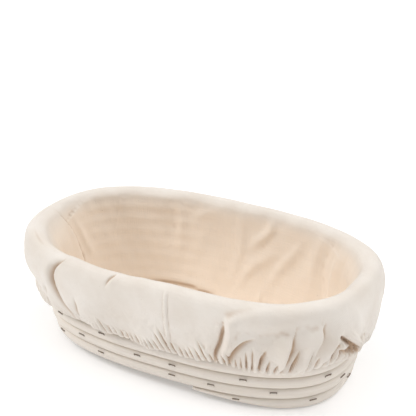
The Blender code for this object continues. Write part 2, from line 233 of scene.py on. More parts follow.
class Nodes:
    """A small wrapper that makes and joins shader nodes."""

    def __init__(self, name, roughness, metallic=0.0, sheen=0.0, specular=0.5):
        self.material = bpy.data.materials.new(name)
        self.material.use_nodes = True
        self.tree = self.material.node_tree
        self.shader = self.tree.nodes["Principled BSDF"]
        self.shader.inputs["Roughness"].default_value = roughness
        self.shader.inputs["Metallic"].default_value = metallic
        self.shader.inputs["Sheen Weight"].default_value = sheen
        self.shader.inputs["Specular IOR Level"].default_value = specular
        self.coordinates = self.tree.nodes.new("ShaderNodeTexCoord")

    def feed(self, socket, value):
        if isinstance(value, bpy.types.NodeSocket):
            self.tree.links.new(value, socket)
        else:
            socket.default_value = value

    def scaled(self, source, scale):
        node = self.tree.nodes.new("ShaderNodeMapping")
        self.feed(node.inputs["Vector"], self.coordinates.outputs[source])
        node.inputs["Scale"].default_value = scale
        return node.outputs["Vector"]

    def noise(self, vector, scale=1.0, detail=3.0, roughness=0.55):
        node = self.tree.nodes.new("ShaderNodeTexNoise")
        self.feed(node.inputs["Vector"], vector)
        node.inputs["Scale"].default_value = scale
        node.inputs["Detail"].default_value = detail
        node.inputs["Roughness"].default_value = roughness
        return node.outputs["Fac"]

    def grain(self, along, across, detail, roughness=0.55):
        """Noise with its own number of marks per metre each way."""
        return self.noise(self.scaled("UV", (along, across, 1)), detail=detail, roughness=roughness)

    def math(self, operation, a, b=0.0):
        node = self.tree.nodes.new("ShaderNodeMath")
        node.operation = operation
        for socket, value in zip(node.inputs, (a, b)):
            self.feed(socket, value)
        return node.outputs["Value"]

    def axis(self, vector, name):
        node = self.tree.nodes.new("ShaderNodeSeparateXYZ")
        self.feed(node.inputs["Vector"], vector)
        return node.outputs[name]

    def spread(self, value, low, high, out_low=0.0, out_high=1.0):
        node = self.tree.nodes.new("ShaderNodeMapRange")
        node.clamp = True
        for name, number in (("Value", value), ("From Min", low), ("From Max", high),
                             ("To Min", out_low), ("To Max", out_high)):  # fmt: skip
            self.feed(node.inputs[name], number)
        return node.outputs["Result"]

    def attribute(self, name):
        node = self.tree.nodes.new("ShaderNodeAttribute")
        node.attribute_name = name
        return node.outputs["Fac"]

    def mix(self, factor, a, b):
        node = self.tree.nodes.new("ShaderNodeMix")
        node.data_type = "RGBA"
        self.feed(node.inputs[0], factor)
        for socket, value in ((node.inputs[6], a), (node.inputs[7], b)):
            self.feed(socket, value if isinstance(value, bpy.types.NodeSocket) else (*value, 1.0))
        return node.outputs[2]

    def colour(self, value):
        self.feed(self.shader.inputs["Base Color"], value)

    def roughness(self, value):
        self.feed(self.shader.inputs["Roughness"], value)

    def bump(self, height, distance, strength=1.0):
        node = self.tree.nodes.new("ShaderNodeBump")
        self.feed(node.inputs["Height"], height)
        node.inputs["Distance"].default_value = distance
        node.inputs["Strength"].default_value = strength
        chain = self.shader.inputs["Normal"]
        if chain.is_linked:
            self.feed(node.inputs["Normal"], chain.links[0].from_socket)
        self.feed(chain, node.outputs["Normal"])


CLOTH_COLOUR = (0.80, 0.742, 0.678)
CLOTH_SHADE = (0.745, 0.675, 0.60)
CLOTH_INSIDE_BOUNCE_LIGHT = (0.88, 0.765, 0.645)
CLOTH_CREASE_SHADE = (0.50, 0.34, 0.22)
CLOTH_SPECK = (0.50, 0.40, 0.29)
RATTAN_COLOUR = (0.81, 0.75, 0.685)
RATTAN_DARK = (0.71, 0.62, 0.52)
RATTAN_BAND = (0.74, 0.655, 0.55)
RATTAN_PORE = (0.48, 0.38, 0.28)
RATTAN_GROOVE_SHADE = (0.60, 0.51, 0.41)
STEEL_COLOUR = (0.24, 0.205, 0.17)
STEEL_RUST = (0.20, 0.125, 0.075)
THREAD_SPACING = 0.55 * MM  # of the cloth's warp and weft
FLOOR_COLOUR = (0.90, 0.90, 0.90)
FLOOR_SHADE = (0.88, 0.88, 0.885)
FLOOR_GLOW = 0.22


def cloth_look(name):
    """Undyed plain-weave cotton: warp over weft, slubs and faint specks, with painted shade in its creases
    and a warmer, lighter inside that is painted bounce light.
    """
    made = Nodes(name, roughness=0.92, sheen=0.25, specular=0.2)
    threads = made.scaled("UV", (1 / THREAD_SPACING,) * 3)
    warp = made.math("SINE", made.math("MULTIPLY", made.axis(threads, "X"), math.pi))
    weft = made.math("SINE", made.math("MULTIPLY", made.axis(threads, "Y"), math.pi))
    weave = made.math("MULTIPLY", warp, weft)
    slub_across = made.grain(60, 900, detail=2)
    slub_up = made.grain(900, 60, detail=2)
    slubs = made.math("ADD", slub_across, slub_up)
    cloudy = made.grain(38, 38, detail=4)
    tone = made.mix(made.spread(cloudy, 0.35, 0.68), CLOTH_COLOUR, CLOTH_SHADE)
    # Painted bounce light: the inside is painted warmer and lighter, patchy with the slubs
    inside = made.math("MULTIPLY", made.attribute("inside"), made.spread(slubs, 0.7, 1.3, 0.75, 1.0))
    tone = made.mix(inside, tone, CLOTH_INSIDE_BOUNCE_LIGHT)
    # Painted shade: hollows and narrow valleys of the cloth are darkened toward a warm brown through the
    # crease attribute
    tone = made.mix(made.math("MULTIPLY", made.attribute("crease"), 0.85), tone, CLOTH_CREASE_SHADE)
    specks = made.spread(made.grain(420, 420, detail=1), 0.74, 0.82)
    made.colour(made.mix(made.math("MULTIPLY", specks, 0.3), tone, CLOTH_SPECK))
    made.bump(weave, 0.10 * MM, 0.6)
    made.bump(slubs, 0.18 * MM, 0.6)
    made.bump(made.grain(150, 190, detail=4), 0.6 * MM, 0.28)
    made.bump(made.grain(62, 48, detail=4), 1.6 * MM, 0.16)
    return made.material


def rattan_look(name):
    """Peeled rattan: long pale fibres, open pores between them, a matt scraped face, and painted shade
    along the top and bottom edges of each cane, where the grooves are.
    """
    made = Nodes(name, roughness=0.7, sheen=0.08, specular=0.3)
    fibres = made.grain(14, 1700, detail=4, roughness=0.62)
    pores = made.spread(made.grain(70, 2600, detail=2), 0.62, 0.72)
    bands = made.grain(9, 260, detail=2)
    tone = made.mix(made.spread(fibres, 0.36, 0.66), RATTAN_COLOUR, RATTAN_DARK)
    tone = made.mix(0.62, tone, RATTAN_COLOUR)
    tone = made.mix(made.spread(bands, 0.42, 0.75, 0.0, 0.4), tone, RATTAN_BAND)
    tone = made.mix(made.math("MULTIPLY", pores, 0.3), tone, RATTAN_PORE)
    # Painted shade in the grooves between canes, toward each cane's top and bottom edge
    groove_shade = made.math("MULTIPLY", made.attribute("edge"), 0.25)
    made.colour(made.mix(groove_shade, tone, RATTAN_GROOVE_SHADE))
    made.roughness(made.spread(fibres, 0.3, 0.7, 0.6, 0.82))
    made.bump(fibres, 0.22 * MM, 0.5)
    made.bump(pores, -0.12 * MM, 0.5)
    return made.material


def steel_look(name):
    """Oxidised steel wire, dark with a little rust."""
    made = Nodes(name, roughness=0.5, metallic=0.55)
    rust = made.spread(made.noise(made.scaled("Object", (900, 900, 900)), detail=3), 0.45, 0.65)
    made.colour(made.mix(rust, STEEL_COLOUR, STEEL_RUST))
    made.roughness(made.spread(rust, 0.0, 1.0, 0.42, 0.75))
    made.bump(rust, 0.04 * MM, 0.5)
    return made.material


def thread_look(name, colour, twist):
    """Twisted cotton thread, or a braided elastic."""
    made = Nodes(name, roughness=0.85, sheen=0.3, specular=0.2)
    plies = made.math("SINE", made.noise(made.scaled("Object", (twist,) * 3), detail=1))
    fuzz = made.noise(made.scaled("Object", (2600,) * 3), detail=2)
    dark = tuple(0.82 * c for c in colour)
    made.colour(made.mix(made.spread(fuzz, 0.35, 0.7), colour, dark))
    made.bump(plies, 0.1 * MM, 0.5)
    return made.material


def floor_look(name):
    """White paper sweep with a faint glow of its own, so that shadows on it stay soft."""
    made = Nodes(name, roughness=0.8, specular=0.15)
    mottle = made.noise(made.scaled("Object", (6, 6, 6)), detail=3)
    made.colour(made.mix(made.spread(mottle, 0.3, 0.7), FLOOR_COLOUR, FLOOR_SHADE))
    made.shader.inputs["Emission Color"].default_value = (*FLOOR_COLOUR, 1.0)
    made.shader.inputs["Emission Strength"].default_value = FLOOR_GLOW
    return made.material


CLOTH = cloth_look("undyed_cotton")
RATTAN = rattan_look("peeled_rattan")
STEEL = steel_look("oxidised_wire")
THREAD = thread_look("cotton_thread", (0.78, 0.71, 0.63), 1500)
ELASTIC = thread_look("braided_elastic", (0.80, 0.79, 0.76), 900)

# ---------------------------------------------------------------- canes, as the CAD lays them

PITCH = 9.4 * MM
CANE_HEIGHT = PITCH - 0.1 * MM
CANE_POWER = 2.25  # of a cane's section
SECTION_POINTS = 22
TURN_STATIONS = 170
TIP_SHARE = 0.16
START_TOP = 6.9 * MM
START_TAPER = 0.11
START_AT = 0.795
SURGE = 0.88
SURGE_AT = 0.03
JOINTS_AT = (3.40, 6.52)
JOINT_GAP = 0.0007
FLOOR_CANE_WIDTH = 8.7 * MM
FLOOR_TURNS = 5
FLOOR_CORE_HALF = 52.0 * MM
FLOOR_CORE_SHIFT = 2.4 * MM
FLOOR_END_ANGLE = math.radians(24)


def coil_top(turns):
    """Height of the top of the wall coil, that many turns after its start."""
    phase = 2 * math.pi
    surge = SURGE / phase * (np.sin(phase * (turns - SURGE_AT)) + math.sin(phase * SURGE_AT))
    return START_TOP + PITCH * (turns + surge)


COIL_TURNS = np.linspace(0, 12, 6001)
COIL_END = float(
    np.interp(WALL_HEIGHT + (1 - TIP_SHARE) * CANE_HEIGHT, coil_top(COIL_TURNS), COIL_TURNS)
)


def section(width, height):
    """Points round a cane's section for arrays of widths and heights: (station, point, 2), and how
    near each point is to the top or bottom edge."""
    angle = np.linspace(0, 2 * math.pi, SECTION_POINTS, endpoint=False)
    x, y = superellipse(angle, CANE_POWER)
    edge = np.abs(np.sin(angle)) ** 6
    return np.stack([np.outer(width / 2, x), np.outer(height / 2, y)], axis=-1), edge


def sweep_cane(name, middle, across, upward, width, height):
    """A cane along middle points, with its section's axes and sizes at each."""
    outline, edge = section(width, height)
    points = middle[:, None] + outline[..., :1] * across[:, None] + outline[..., 1:] * upward[:, None]
    run = run_along(middle)
    girth = np.linspace(0, 2 * (CANE_THICKNESS + CANE_HEIGHT), SECTION_POINTS + 1)
    u = np.repeat(run[:, None], SECTION_POINTS + 1, 1)
    v = np.repeat(girth[None], len(run), 0)
    made = grid_mesh(name, points, u, v, RATTAN, capped=True)
    # the edge attribute places the painted shade of the grooves
    add_attribute(made, "edge", np.repeat(edge[None], len(run), 0))
    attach(made, "basket")
    return made


def wall_cane(name, node, first, last, rng):
    """One length of the wall coil, from one number of turns to another."""
    turns = np.linspace(first, last, math.ceil((last - first) * TURN_STATIONS) + 1)
    share = START_AT + turns
    top = coil_top(turns)
    height = CANE_HEIGHT * np.minimum(1.0, TIP_SHARE + (1 - TIP_SHARE) * turns / START_TAPER)
    height = np.minimum(height - np.maximum(0.0, top - WALL_HEIGHT), top)
    top = np.minimum(top, WALL_HEIGHT)
    middle_z = top - height / 2
    step = 2 * MM
    low, high = around(share, middle_z - step, 0.0), around(share, middle_z + step, 0.0)
    lean = np.arctan2(np.linalg.norm((high - low)[:, :2], axis=1), 2 * step)[:, None]
    surface = around(share, middle_z, 0.0)
    out = surface - around(share, middle_z, -1 * MM)
    out /= np.linalg.norm(out, axis=1)[:, None]
    across = out * np.cos(lean) - UP * np.sin(lean)
    upward = out * np.sin(lean) + UP * np.cos(lean)
    wobble = 0.09 * MM * wave_noise(share, middle_z, rng, 60, 400, 8)[:, None]
    middle = surface - across * (CANE_THICKNESS / 2 - wobble)
    made = sweep_cane(name, middle, across, upward, np.full(len(turns), CANE_THICKNESS), height)
    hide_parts(node)
    return made


def reach(direction, x_core, half_length, half_width):
    """Distance from a point of the floor's core to the floor's outline, along a direction."""
    low, high = 0.0, half_length + half_width
    for _ in range(40):
        middle = (low + high) / 2
        x = abs(x_core + middle * direction[0]) / half_length
        y = abs(middle * direction[1]) / half_width
        if x**OVAL_POWER + y**OVAL_POWER < 1:
            low = middle
        else:
            high = middle
    return low


def floor_path():
    """Centre line of the floor coil and its size there: straight passes joined by half circles, then a
    long tapered end round the right end, all fitted into the oval."""
    inset = FLOOR_INSET + FLOOR_CANE_WIDTH / 2
    half_length, half_width = BASE_HALF[0] - inset, BASE_HALF[1] - inset
    pitch = half_width / FLOOR_TURNS
    core = FLOOR_CORE_HALF
    quarter = math.pi / 2
    raw = []

    def straight(x_from, x_to, y, steps=14):
        raw.extend((x_from + (x_to - x_from) * i / steps, y, 1.0) for i in range(steps))

    def bend(x, y, radius, angle_from, angle_to):
        steps = 16 + round(radius / (16 * MM)) * 5
        for i in range(steps):
            angle = angle_from + (angle_to - angle_from) * i / steps
            raw.append((x + radius * math.cos(angle), y + radius * math.sin(angle), 1.0))

    for turn in range(FLOOR_TURNS):
        straight(-core, core, -turn * pitch)
        bend(core, pitch / 2, (turn + 0.5) * pitch, -quarter, quarter)
        straight(core, -core, (turn + 1) * pitch)
        bend(-core, 0, (turn + 1) * pitch, quarter, 3 * quarter)
    straight(-core, core, -FLOOR_TURNS * pitch)
    outer = half_width + FLOOR_CANE_WIDTH / 2
    inner = (FLOOR_TURNS + 0.5) * pitch - FLOOR_CANE_WIDTH / 2
    steps = 26
    for i in range(steps + 1):
        angle = -quarter + (FLOOR_END_ANGLE + quarter) * i / steps
        side = pitch / 2 * math.cos(angle)
        nearest = pitch / 2 * math.sin(angle) + math.sqrt(inner**2 - side**2)
        radius = (outer + nearest) / 2
        size = (outer - nearest) / FLOOR_CANE_WIDTH
        raw.append((core + radius * math.cos(angle), radius * math.sin(angle), size))

    fitted = []
    for x, y, size in raw:
        x_core = min(max(x, -core), core)
        distance = math.hypot(x - x_core, y)
        scale = 1.0
        if distance > 0.1 * MM:
            direction = ((x - x_core) / distance, y / distance)
            scale = reach(direction, x_core, half_length, half_width) / half_width
        shift = FLOOR_CORE_SHIFT * max(0.0, 1 - distance / half_width) + BASE_SHIFT
        place = (x_core + (x - x_core) * scale + shift, y * scale, CANE_THICKNESS / 2 * size)
        fitted.append((*place, size))
    return np.array(fitted)


def floor_coil():
    path = floor_path()
    middle, size = path[:, :3], path[:, 3]
    along = np.gradient(middle, axis=0)
    across = np.cross(along, UP)
    across /= np.linalg.norm(across, axis=1)[:, None]
    upward = np.repeat(UP[None], len(middle), 0)
    made = sweep_cane("floor_coil", middle, across, upward,
                      FLOOR_CANE_WIDTH * 1.04 * size, CANE_THICKNESS * size)  # fmt: skip
    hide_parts("floor_cane")
    return made


def canes():
    rng = np.random.default_rng(SEED)
    ends = (0.0, *JOINTS_AT, COIL_END)
    names = ("lower", "middle", "upper")
    made = []
    for name, first, last in zip(names, ends, ends[1:]):
        first = first + JOINT_GAP / 2 if first else first
        last = last - JOINT_GAP / 2 if last < COIL_END else last
        made.append(wall_cane(f"cane_{name}", f"wall_cane_{name}", first, last, rng))
    return [floor_coil(), *made]


# ---------------------------------------------------------------- staples

STAPLE_NODE_ROWS = 3
STAPLE_ROWS = 8
STAPLES_IN_ROW = 12
FIRST_STAPLE = 0.62
STAPLE_STAGGER = 0.43
STAPLE_WANDER = 0.09
STAPLE_WIDTH = 4.4 * MM
STAPLE_BELOW_TOP = 1.45 * MM
STAPLE_PROUD = 0.2 * MM
STAPLE_WIRE = 0.42 * MM
STAPLE_LEG = 10.6 * MM
STAPLE_LEAN = math.radians(25)
LOWEST_UPPER_STAPLE = 41.0 * MM  # height; lower down the turn is held by the row under it


def staple_points(row, i):
    """The four corners of a staple's wire: leg end, shoulder, shoulder, leg end."""
    wander = STAPLE_WANDER * math.sin(2.4 * i + 1.7 * row)
    turns = row + (i + FIRST_STAPLE - STAPLE_STAGGER * row + wander) / STAPLES_IN_ROW
    share = START_AT + turns
    z = float(coil_top(turns)) - STAPLE_BELOW_TOP
    middle = around(share, z, STAPLE_PROUD)
    step = 0.002
    along = around(share + step, z, 0.0) - around(share - step, z, 0.0)
    along[2] = coil_top(turns + step) - coil_top(turns - step)
    along /= np.linalg.norm(along)
    outward = np.array([along[1], -along[0], 0.0])
    outward /= np.linalg.norm(outward)
    rise = 2 * MM
    flare = np.linalg.norm((around(share, z + rise, 0.0) - around(share, z - rise, 0.0))[:2])
    lean = STAPLE_LEAN + math.atan2(flare, 2 * rise)
    down = -math.sin(lean) * outward - math.cos(lean) * UP
    shoulders = [middle - along * STAPLE_WIDTH / 2, middle + along * STAPLE_WIDTH / 2]
    ends = [shoulder + down * STAPLE_LEG for shoulder in shoulders]
    return [ends[0], *shoulders, ends[1]]


def upper_staples():
    """The rows of staples that the skirt covers, as one piece."""
    places = [(row, i) for row in range(STAPLE_NODE_ROWS, STAPLE_ROWS) for i in range(STAPLES_IN_ROW)]
    staples = [staple_points(row, i) for row, i in places]
    covered = [corners for corners in staples if corners[1][2] >= LOWEST_UPPER_STAPLE]
    made = wire_curve("upper_staples", covered, STAPLE_WIRE, STEEL)
    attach(made, "basket")


def paint_nodes():
    """The CAD staples keep their shape and get the wire's material."""
    for name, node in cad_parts.items():
        if name.startswith("staple_"):
            for slot in node.material_slots:
                slot.material = STEEL


# ---------------------------------------------------------------- liner band

COLUMN_SPACING = 1.2  # in mm
FINE_COLUMN_SPACING = 0.45  # along the front, where the folds are sharpest
FINE_FROM, FINE_TO = -112.0, 160.0
CREST_OUT = -2.6  # of the crest over the rim, in mm
HEM_Z = 36.5
# Section of the band in mm (out from the wall's surface, z): floor seam, up the inside, over the rim,
# down the skirt, and round the elastic
BAND_PROFILE = (
    (-12.6, 8.5), (-11.4, 9.2), (-10.5, 11.4), (-9.9, 16.0), (-9.4, 26.0), (-9.0, 44.0), (-8.7, 60.0),
    (-8.4, 72.0), (-8.0, 78.0), (-6.6, 82.6), (-4.0, 85.1), (-0.8, 85.7), (2.2, 84.8), (4.7, 82.3),
    (6.4, 78.2), (7.3, 72.6), (7.8, 66.0), (7.9, 59.5), (7.5, 53.0), (6.6, 47.2), (5.4, 43.2),
    (4.3, 40.2), (3.5, 37.9), (2.6, 36.7), (1.5, 36.5), (0.9, 37.6), (0.8, 40.0), (0.8, 42.4),
)  # fmt: skip
PROFILE_POINTS = 1200
# Row spacing in mm at shares of the band's way, from the floor seam to the hem
ROW_SPACING = (
    (0.0, 1.2), (0.04, 2.4), (0.36, 2.2), (0.44, 1.2), (0.58, 1.2), (0.66, 1.5), (0.76, 0.95),
    (0.93, 0.66), (1.0, 1.0),
)  # fmt: skip

# Height of the hem over HEM_Z, and of the crest over its own height, at places along, in mm
HEM_RISES = (
    (-150, 1.6), (-118, 0.8), (-96, 0.4), (-85, 0.2), (-70, 0.8), (-44, 2.2), (-18, 2.1), (0, 1.3),
    (18, 1.7), (46, 2.6), (60, 1.3), (76, 0.9), (93, 1.7), (118, 4.0), (134, 4.8), (150, 4.2),
    (176, -2.6), (205, -0.4), (250, 1.2), (300, -0.8), (-297, -0.8), (-250, 0.9), (-200, -0.5),
)  # fmt: skip
CREST_RISES = (
    (-120, 0.2), (-90, -2.6), (-74, -2.2), (-58, -0.4), (-35, -1.0), (-14, -0.3), (0, 1.0), (19, 2.0),
    (40, 1.5), (62, 0.4), (92, -0.4), (116, 0.9), (145, 1.0), (176, 0.3), (230, 0.0), (290, 0.2),
    (-260, 0.2), (-200, 0.1),
)  # fmt: skip

# Folds: path of (along, z, size), width before the path, width after it, seen with the path going down.
# Before is the left side of a path that goes down, after is its right side.
SKIRT_FOLDS = (
    # pinch at the left end, with the cloth puffed out on both sides of it
    (((-61.5, 84.5, -0.6), (-67.8, 76.5, -2.9), (-70, 68, -3.3), (-66, 55.5, -2.7), (-61.4, 45, -1.6),
      (-59.6, 39, -0.9)), 2.7, 0.8),
    (((-54, 80, 0.2), (-61, 68.5, 0.8), (-58.5, 56, 0.7), (-55, 46, 0.4)), 3, 7.5),
    (((-72, 80, 0.2), (-73.5, 68, 1.3), (-69, 56, 1), (-64, 44, 0.6)), 6, 1.8),
    # short folds below it
    (((-50, 59.5, -0.3), (-51.2, 53, -1), (-54.2, 44, -1.2)), 1, 1.5),
    (((-64, 50, 0.3), (-61.6, 43.5, 1), (-60, 38.5, 1)), 1.2, 1),
    (((-80, 57, -0.4), (-82.8, 51, -1.9), (-85.6, 45, -1.3)), 2.2, 1.2),
    # small crease on the shoulder
    (((-18.5, 87, -0.2), (-22.4, 83.2, -1.1), (-24.4, 78, -0.3)), 0.8, 0.7),
    (((-16, 85, 0.1), (-19.6, 81.6, 0.45), (-21.6, 77, 0.1)), 1.4, 3),
    # tent over the middle of the front: ridge, and the deep fold that hangs from its corner
    (((88, 84.6, 0.4), (77.2, 81.6, 1.1), (66.5, 78.2, 1.5), (57.5, 74.4, 1.6)), 3.2, 7),
    # the skirt hangs closer at the foot of the left end
    (((-148, 50, -1.2), (-122, 48, -2.2), (-96, 46, -1.2)), 10, 10),
    (((55.6, 76, -0.3), (54.9, 68, -1.9), (53.2, 59, -2.5), (49.8, 47.5, -2.6), (48.6, 40, -1.6)),
      1.5, 1.2),
    (((59.6, 74, 0.9), (59, 66, 1.7), (57.4, 57, 2.2), (53.8, 46.5, 1.6), (52.4, 40.5, 0.8)), 2.4, 3),
    (((46.6, 58, 0.2), (44.6, 50, 1.2), (42.8, 42.5, 1)), 2, 2.2),
    # the under edge of that fold
    (((73, 63.2, -0.3), (67.6, 60.2, -1.7), (62.6, 54, -2.2), (58.9, 46, -2.3), (57.6, 40, -1.4)), 1, 2.6),
    (((64, 67, -0.6), (80, 66, -1.5), (92, 69, -1.7), (104, 73, -1.2), (118, 74, -0.5)), 8, 6),
    (((80.6, 56, -0.4), (79, 50, -1.7), (76.6, 41.5, -1.8)), 1.4, 1.6),
    (((74, 52, 0.2), (72.4, 46, 0.9), (71.4, 41, 0.8)), 1.6, 1.6),
    # three large folds that fan out to the right end, each lapping over the next
    (((95.6, 67, 0.4), (93.9, 62.4, 2), (91.6, 53, 2.7), (89.9, 43, 2.7), (89.3, 38.5, 2.2)), 5.5, 0.7),
    (((97, 66, -0.7), (95.9, 58, -2), (93.9, 49, -2.3), (92, 40.5, -1.8)), 0.9, 4.4),
    (((112.6, 72, 0.5), (112.4, 66.5, 1.9), (108.8, 59, 2.6), (104.4, 50, 3), (102.2, 41, 2.6)), 6, 0.7),
    (((114.6, 71, -0.8), (114, 64.5, -2.1), (110.6, 56.5, -2.3), (106.6, 48.5, -2.3), (104.6, 41, -1.6)),
      0.9, 4.4),
    (((125, 64.5, 0.6), (121.2, 57, 1.9), (117.6, 49, 2.3), (116.2, 42.5, 1.9)), 4.5, 0.7),
    (((125.2, 58.5, -0.8), (121.9, 51, -2), (119.4, 44.5, -1.6)), 0.9, 3),
    # tuck at the right end, drawn in to one point
    (((124.4, 63.6, -0.6), (128.6, 59.2, -3.2), (135.6, 52.6, -4), (145.8, 44.8, -1.8)), 1.5, 1),
    (((128, 50.5, -1.8), (136, 48, -3.2), (145, 44.4, -1.6)), 2.4, 1.8),
    (((130, 61.6, 0.5), (137.5, 55.4, 1.2), (146, 47.2, 0.6)), 1.6, 1.2),
    (((125.4, 58.5, 0.9), (129.4, 51, 1.9), (130.6, 44, 1.2)), 1.8, 1.5),
    (((132, 64, 0.5), (139, 56, 1.3), (145.4, 47.6, 0.8)), 3.5, 1.4),
    (((144.4, 56.5, -0.2), (145.2, 50, -1.3), (146, 45, -1.6)), 0.7, 0.8),
    (((147.2, 55, 0.2), (147.6, 49.5, 0.9), (147.6, 45.5, 0.5)), 0.9, 1.2),
    (((135.4, 79, 0.2), (139.6, 67.5, 1), (142, 57, 0.7)), 5.5, 3),
    (((152, 52, 0.2), (149.6, 46.5, 0.7), (148.4, 43.5, 0.4)), 0.9, 1),
)  # fmt: skip
FOLD_SCALE = 1.4  # of the skirt's folds, over the sizes above
SIDE_SEAM_ALONG = 18.4
SIDE_SEAM_HALF = 1.2
SIDE_SEAM_PROUD = 0.62
SIDE_SEAM_VALLEY = 0.3  # depth beside the seam, as a share of its own height

# Inside: positive is inward, toward the hollow
INNER_FOLDS = (
    # bridge across the left end, creased along one long line
    (((-147, 85, 0.6), (-152.5, 76, 2.8), (-158.5, 66.5, 4.2), (-165.5, 52.5, 4.4), (-171.5, 36, 3.2),
      (-174.5, 20, 1)), 0.9, 26),
    (((-150, 83, -0.4), (-155.3, 74, -1.1), (-161.5, 63.5, -1.3), (-168.2, 49.5, -1.3), (-173.6, 33, -1)),
      0.9, 0.9),
    (((-168, 74, 0.5), (-177, 58, 1.5), (-184, 42, 1)), 4, 3),
    # cloth that slopes from the rim to the wall at both ends
    (((-150, 72, 3.5), (-130, 67, 7.5), (-104, 70, 3)), 26, 13),
    (((166, 71, 2.5), (190, 65, 6.5), (216, 71, 2)), 22, 13),
    # fold along the floor seam at the back
    (((-228, 15.9, -0.4), (-250, 15.6, -1.2), (-266, 15.2, -1.3), (-280, 14, -1.3), (-293, 12, -1.2),
      (-308, 11, -0.5)), 1.3, 1.3),
    (((-228, 19.6, 0.3), (-250, 19.2, 0.9), (-266, 18.6, 1), (-280, 17.2, 1), (-296, 15, 0.5)), 1.8, 5),
    (((-216, 86, 0.3), (-214.8, 73.6, 0.55), (-211.6, 61, 0.45), (-208.4, 52, 0.1)), 1, 1),
    (((-269, 65.4, 0.2), (-286.6, 73.2, 0.7), (-300, 80.5, 0.3)), 2.5, 5),
    (((295, 84, 0.5), (292, 74, 1.8), (303, 62, 1.9), (310, 55, 0.5)), 3.2, 4),
    (((285, 56, 0.4), (301.5, 45, 1.7), (311, 35, 1.5), (318, 22, 0.4)), 3.4, 5.5),
    (((262, 74, 0.4), (270, 60, 1.7), (281, 46, 1.5), (290, 30, 0.4)), 4.4, 4),
    (((-262, 84, 0.2), (-267, 70, 0.8), (-266, 50, 0.7), (-262, 32, 0.2)), 4, 4),
    (((-318, 80, 0.3), (-322, 66, 1.2), (-321, 50, 1), (-316, 30, 0.3)), 3.6, 4.6),
    (((234, 80, -0.3), (239.5, 69, -0.8), (241, 56, -0.9), (240, 42, -0.8), (238, 26, -0.3)), 4.5, 4.5),
    (((246, 80, 0.5), (249, 66, 1.9), (251, 50, 1.7), (252, 34, 0.4)), 4.5, 8),
    (((222, 78, 0.4), (227, 62, 2.1), (229, 45, 1.9), (227, 28, 0.5)), 9, 4),
    (((297, 24, 0.2), (296, 19.5, 1), (298.5, 14, 0.3)), 1.2, 2),
    (((60, 80, 0.2), (52, 60, 0.9), (40, 38, 0.4)), 4, 6),
    (((-40, 78, 0.2), (-30, 58, 0.8), (-22, 36, 0.3)), 5, 5),
    (((-110, 80, 0.2), (-112, 60, 1.1), (-106, 36, 0.4)), 6, 4),
    (((150, 80, 0.2), (156, 58, 1.2), (152, 34, 0.5)), 6, 5),
)  # fmt: skip


def band_rows():
    """(out, z) of each row, the outward normal of the section there, and the way along it, in mm."""
    line = spline(BAND_PROFILE, PROFILE_POINTS)
    run = run_along(line)
    shares, spacings = zip(*ROW_SPACING)
    density = 1 / np.interp(run / run[-1], shares, spacings)
    stops = spaced(density, run)
    rows = sampled(stops, run, line.T)
    slope = sampled(stops, run, [np.gradient(column, run) for column in line.T])
    slope /= np.linalg.norm(slope, axis=1)[:, None]
    normal = np.stack([-slope[:, 1], slope[:, 0]], 1)
    return rows, normal, stops


def periodic(places, along):
    """Smooth value round the basket through (along, value) places."""
    places = sorted((x % GIRTH_MM, value) for x, value in places)
    x = np.array([p[0] for p in places])
    y = np.array([p[1] for p in places])
    x = np.concatenate([x[-2:] - GIRTH_MM, x, x[:2] + GIRTH_MM])
    y = np.concatenate([y[-2:], y, y[:2]])
    at = along % GIRTH_MM
    k = np.clip(np.searchsorted(x, at) - 1, 0, len(x) - 2)
    t = smoothstep((at - x[k]) / (x[k + 1] - x[k]))
    return y[k] + (y[k + 1] - y[k]) * t


def fold_height(along, z, path, before, after):
    """How far a fold lifts each place: a soft ridge (or valley) that follows the path."""
    path = spline(path, 14)
    centre = path[:, 0].mean()
    x = (along - centre + GIRTH_MM / 2) % GIRTH_MM - GIRTH_MM / 2 + centre
    margin = 4 * max(before, after)
    near = (x > path[:, 0].min() - margin) & (x < path[:, 0].max() + margin)
    near &= (z > path[:, 1].min() - margin) & (z < path[:, 1].max() + margin)
    lift = np.zeros(x.shape)
    if not near.any():
        return lift
    px, pz = x[near], z[near]
    best = np.full(px.shape, np.inf)
    side = np.zeros(px.shape)
    size = np.zeros(px.shape)
    for (x0, z0, s0), (x1, z1, s1) in zip(path, path[1:]):
        dx, dz = x1 - x0, z1 - z0
        t = np.clip(((px - x0) * dx + (pz - z0) * dz) / (dx * dx + dz * dz), 0, 1)
        distance = np.hypot(px - x0 - t * dx, pz - z0 - t * dz)
        closer = distance < best
        best = np.where(closer, distance, best)
        side = np.where(closer, (px - x0) * dz - (pz - z0) * dx, side)
        size = np.where(closer, s0 + (s1 - s0) * t, size)
    width = np.where(side > 0, before, after)
    lift[near] = size * np.exp(-((best / width) ** 2))
    return lift


RIGHT_END = (78, 150)  # places along between which the gathers are coarse and deep
LONG_GATHERS = 0.3  # share of the gathers that run far up the skirt
FRONT_LEAN, BACK_LEAN = 0.32, 0.16  # of the gathers to the right, in mm for each mm up
VALLEY_HALF = 0.75  # half width of the creases that run on up from the gathers, in mm


def gather_lean(x):
    """How far a gather drifts to the right for each mm up: they fan out from the tent on the front."""
    front = smoothstep((x + 130) / 40) * smoothstep((200 - x) / 50)
    return FRONT_LEAN * np.tanh((x - 72) / 24) * front + BACK_LEAN * np.sin(x / 37) * (1 - front)


